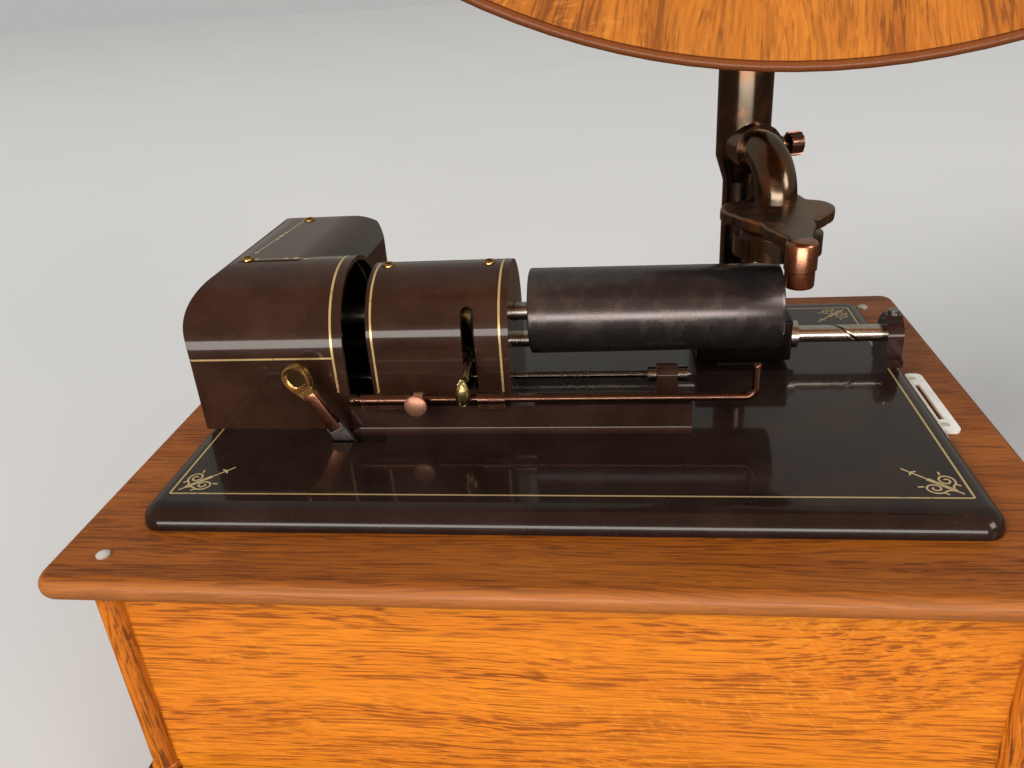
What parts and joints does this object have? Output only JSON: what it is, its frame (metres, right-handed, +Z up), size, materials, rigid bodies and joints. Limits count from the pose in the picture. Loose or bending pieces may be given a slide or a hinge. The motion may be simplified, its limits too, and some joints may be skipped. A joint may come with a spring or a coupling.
{
  "type": "cylinder phonograph",
  "caption": "Tabletop cylinder phonograph: oak case, enamelled works with a sliding mandrel, spring motor with crank, swinging reproducer and a large flared oak horn on a swan neck.",
  "frame": {"origin": "on the floor under the middle of the case", "axes": "+Z up, +X to the right along the mandrel, +Y from the front of the case to its back"},
  "size_m": [0.5975, 0.4755, 0.918],
  "materials": {
    "golden_oak": "satin varnish over quartered oak",
    "dark_oak": "dark stained oak, satin varnish",
    "plain_board": "unvarnished softwood",
    "horn_oak": "gloss varnish over veneered oak",
    "maroon_enamel": "gloss enamel on cast iron, with gold lines",
    "nickel": "polished nickel plate",
    "steel": "turned steel",
    "brass": "lacquered brass",
    "blue_steel": "darkened steel, copper toned shank",
    "oxidized_copper": "oxidized copper plate, rubbed bright on the edges",
    "grey_mandrel": "dull tarnished nickel plate",
    "belt_leather": "oiled leather",
    "copper_sheet": "thin copper sheet",
    "stylus_steel": "polished steel",
    "handle_wood": "dark turned wood"
  },
  "bodies": {
    "machine": {"oak_top": "golden_oak", "front_panel": "golden_oak", "back_panel": "golden_oak", "left_panel": "golden_oak", "right_panel": "golden_oak", "corner_columns": "golden_oak", "base_moulding": "dark_oak", "bottom_board": "plain_board", "lid_pins": "nickel", "strike_plate": "nickel", "strike_screws": "nickel", "bedplate": "maroon_enamel", "front_rail": "maroon_enamel", "motor_cover": "maroon_enamel", "feed_cover": "maroon_enamel", "oil_caps": "brass", "guide_rod": "nickel", "right_post": "maroon_enamel", "post_screw": "steel", "left_post": "maroon_enamel", "screw_post": "maroon_enamel", "left_bearing": "steel", "right_bearing": "steel", "column_foot": "maroon_enamel", "horn_column": "oxidized_copper", "stop_rod_bearings": "oxidized_copper", "crank_bush": "nickel", "motor_plate_left": "brass", "motor_plate_right": "brass", "motor_pillars": "steel", "drive_belt": "belt_leather"},
    "carriage": {"carriage": "steel", "half_nut": "brass"},
    "mandrel": {"mandrel": "grey_mandrel", "spindle": "steel"},
    "drive_pulley": {"drive_pulley": "brass"},
    "feed_screw": {"feed_screw": "steel", "feed_screw_gear": "brass"},
    "output_arbor": {"output_arbor": "brass"},
    "intermediate_wheel": {"intermediate_wheel": "brass"},
    "spring_barrel": {"spring_barrel": "brass"},
    "governor": {"governor": "steel", "governor_weights": "brass"},
    "winding_crank": {"winding_crank": "steel"},
    "winding_arbor": {"winding_arbor": "steel"},
    "crank_handle": {"crank_handle": "handle_wood"},
    "start_lever": {"start_lever": "blue_steel", "start_finger": "brass"},
    "feed_lever": {"feed_lever": "brass"},
    "stop_rod": {"stop_rod": "oxidized_copper", "stop_knob": "oxidized_copper"},
    "reproducer": {"tone_elbow": "oxidized_copper", "reproducer_plate": "oxidized_copper", "reproducer_drum": "oxidized_copper", "diaphragm": "copper_sheet", "stylus_arm": "stylus_steel", "reproducer_weight": "oxidized_copper"},
    "thumbscrew": {"thumbscrew": "oxidized_copper"},
    "horn": {"horn_neck": "oxidized_copper", "horn_bell": "horn_oak"}
  },
  "joints": [
    {"name": "mandrel_travel", "type": "slide", "parent": "machine", "child": "carriage", "axis": [1, 0, 0], "range_m": [0, 0.1]},
    {"name": "mandrel_spin", "type": "hinge", "parent": "carriage", "child": "mandrel", "pos_m": [0.05, -0.0075, 0.256], "axis": [1, 0, 0], "continuous": true},
    {"name": "pulley_spin", "type": "hinge", "parent": "machine", "child": "drive_pulley", "pos_m": [-0.045, -0.0075, 0.256], "axis": [1, 0, 0], "continuous": true},
    {"name": "screw_spin", "type": "hinge", "parent": "machine", "child": "feed_screw", "pos_m": [-0.04, -0.0245, 0.22484], "axis": [1, 0, 0], "continuous": true},
    {"name": "output_spin", "type": "hinge", "parent": "machine", "child": "output_arbor", "pos_m": [-0.07, -0.0075, 0.136], "axis": [1, 0, 0], "continuous": true},
    {"name": "intermediate_spin", "type": "hinge", "parent": "machine", "child": "intermediate_wheel", "pos_m": [-0.075, -0.00367, 0.09618], "axis": [1, 0, 0], "continuous": true},
    {"name": "barrel_spin", "type": "hinge", "parent": "machine", "child": "spring_barrel", "pos_m": [-0.11, 0.04203, 0.12496], "axis": [1, 0, 0], "continuous": true},
    {"name": "governor_spin", "type": "hinge", "parent": "machine", "child": "governor", "pos_m": [-0.105, -0.03901, 0.14156], "axis": [1, 0, 0], "continuous": true},
    {"name": "crank_spin", "type": "hinge", "parent": "machine", "child": "winding_crank", "pos_m": [0.2, 0.07962, 0.11128], "axis": [1, 0, 0], "continuous": true},
    {"name": "winding_spin", "type": "hinge", "parent": "machine", "child": "winding_arbor", "pos_m": [-0.051, 0.04203, 0.12496], "axis": [1, 0, 0], "continuous": true},
    {"name": "handle_spin", "type": "hinge", "parent": "winding_crank", "child": "crank_handle", "pos_m": [0.268, 0.07962, 0.02628], "axis": [1, 0, 0], "continuous": true},
    {"name": "start_lever_swing", "type": "hinge", "parent": "machine", "child": "start_lever", "pos_m": [-0.104, -0.061, 0.191], "axis": [0, 1, 0], "range_deg": [0, 50]},
    {"name": "feed_lever_lift", "type": "hinge", "parent": "machine", "child": "feed_lever", "pos_m": [-0.04, -0.025, 0.24184], "axis": [-1, 0, 0], "range_deg": [0, 40]},
    {"name": "stop_rod_turn", "type": "hinge", "parent": "machine", "child": "stop_rod", "pos_m": [0, -0.054, 0.226], "axis": [-1, 0, 0], "range_deg": [0, 30]},
    {"name": "reproducer_swing", "type": "hinge", "parent": "machine", "child": "reproducer", "pos_m": [0.1025, 0.0505, 0.33], "axis": [-0.2924, 0.9563, 0], "range_deg": [0, 60]},
    {"name": "thumbscrew_turn", "type": "hinge", "parent": "machine", "child": "thumbscrew", "pos_m": [0.10689, 0.03616, 0.33], "axis": [0.9563, 0.2924, 0], "continuous": true},
    {"name": "horn_swivel", "type": "hinge", "parent": "machine", "child": "horn", "pos_m": [0.1025, 0.0505, 0.37], "axis": [0, 0, 1], "range_deg": [-30, 30]}
  ],
  "couplings": [
    {"joint": "pulley_spin", "follows": "mandrel_spin", "ratio": 1},
    {"joint": "screw_spin", "follows": "mandrel_spin", "ratio": -1.84},
    {"joint": "output_spin", "follows": "mandrel_spin", "ratio": 1},
    {"joint": "intermediate_spin", "follows": "mandrel_spin", "ratio": -0.25},
    {"joint": "barrel_spin", "follows": "mandrel_spin", "ratio": 0.05},
    {"joint": "governor_spin", "follows": "mandrel_spin", "ratio": -3.5714},
    {"joint": "winding_spin", "follows": "crank_spin", "ratio": -0.33333}
  ]
}
